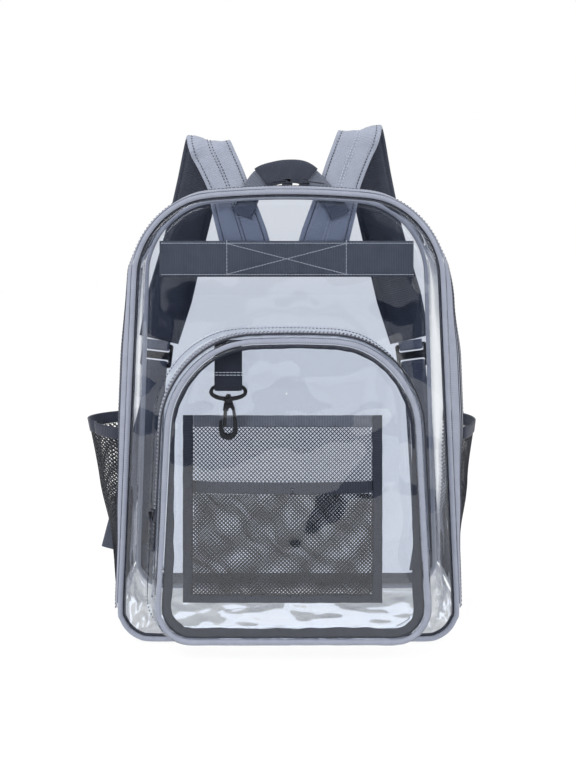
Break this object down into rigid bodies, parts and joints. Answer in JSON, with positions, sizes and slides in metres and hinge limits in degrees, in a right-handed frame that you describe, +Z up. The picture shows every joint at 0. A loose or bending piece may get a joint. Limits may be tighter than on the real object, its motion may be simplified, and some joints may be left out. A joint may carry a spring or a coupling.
{
  "type": "clear stadium backpack",
  "caption": "Clear vinyl backpack with grey piping, zipped front pocket with mesh organizer and key clip, mesh side pockets, padded shoulder straps and a grab handle.",
  "frame": {"origin": "on the floor under the middle of the bounding box", "axes": "+Z up, +X to the right seen from the front, -Y towards the front pocket, +Y towards the shoulder straps"},
  "size_m": [0.3916, 0.2306, 0.4987],
  "materials": {
    "clear_vinyl": "glossy clear",
    "grey_trim": "fine woven",
    "grey_cloth": "woven polyester",
    "dark_webbing": "ribbed webbing",
    "dark_mesh": "open diamond mesh",
    "black_plastic": "satin moulded",
    "zip_metal": "black nickel"
  },
  "bodies": {
    "bag": {"front_panel": "clear_vinyl", "back_panel": "clear_vinyl", "gusset": "clear_vinyl", "bottom_panel": "clear_vinyl", "front_piping": "grey_trim", "back_piping": "grey_trim", "main_zip_front_tape": "grey_trim", "main_zip_rear_tape": "grey_trim", "main_zip_coil": "dark_webbing", "main_left_slider": "zip_metal", "main_right_slider": "zip_metal", "pocket_front_panel": "clear_vinyl", "pocket_gusset": "clear_vinyl", "pocket_piping": "grey_trim", "pocket_flange": "clear_vinyl", "pocket_inner_binding": "grey_trim", "pocket_zip_coil": "dark_webbing", "pocket_zip_tape": "grey_trim", "pocket_slider": "zip_metal", "organizer_frame": "dark_webbing", "organizer_top_binding": "dark_webbing", "organizer_back_mesh": "dark_mesh", "organizer_front_mesh": "dark_mesh", "organizer_mid_binding": "dark_webbing", "clip_webbing": "dark_webbing", "clip_eye": "black_plastic", "side_pocket_mesh_left": "dark_mesh", "side_pocket_hem_left": "dark_webbing", "side_pocket_mesh_right": "dark_mesh", "side_pocket_hem_right": "dark_webbing", "back_band": "dark_webbing", "back_inner_binding": "dark_webbing", "shoulder_strap_left": "grey_cloth", "ladder_lock_left": "black_plastic", "strap_tab_left": "grey_trim", "adjuster_left": "dark_webbing", "corner_tab_left": "grey_trim", "shoulder_strap_right": "grey_cloth", "ladder_lock_right": "black_plastic", "strap_tab_right": "grey_trim", "adjuster_right": "dark_webbing", "corner_tab_right": "grey_trim", "grab_handle_webbing": "grey_trim", "grab_handle_grip": "dark_webbing"},
    "left_main_pull": {"main_left_pull": "zip_metal"},
    "right_main_pull": {"main_right_pull": "zip_metal"},
    "front_pocket_pull": {"pocket_pull": "zip_metal"},
    "swivel_hook": {"clip_hook": "black_plastic"},
    "hook_gate": {"clip_gate": "black_plastic"}
  },
  "joints": [
    {"name": "left_main_pull_hinge", "type": "hinge", "parent": "bag", "child": "left_main_pull", "pos_m": [0.00546, -0.03916, 0.43019], "axis": [-0.0004, 0.9986, 0.0534], "range_deg": [0, 110]},
    {"name": "right_main_pull_hinge", "type": "hinge", "parent": "bag", "child": "right_main_pull", "pos_m": [0.0256, -0.03916, 0.42993], "axis": [-0.0017, -0.9987, -0.0503], "range_deg": [0, 110]},
    {"name": "pocket_pull_hinge", "type": "hinge", "parent": "bag", "child": "front_pocket_pull", "pos_m": [-0.1146, -0.10301, 0.12686], "axis": [-0.4083, 0.9107, -0.0632], "range_deg": [0, 135]},
    {"name": "clip_swivel", "type": "hinge", "parent": "bag", "child": "swivel_hook", "pos_m": [-0.04624, -0.08, 0.23], "axis": [0, 0, 1], "continuous": true},
    {"name": "gate_hinge", "type": "hinge", "parent": "swivel_hook", "child": "hook_gate", "pos_m": [-0.04864, -0.08, 0.222], "axis": [0, -1, 0], "range_deg": [0, 14], "stiffness_Nm_per_rad": 0.02}
  ]
}
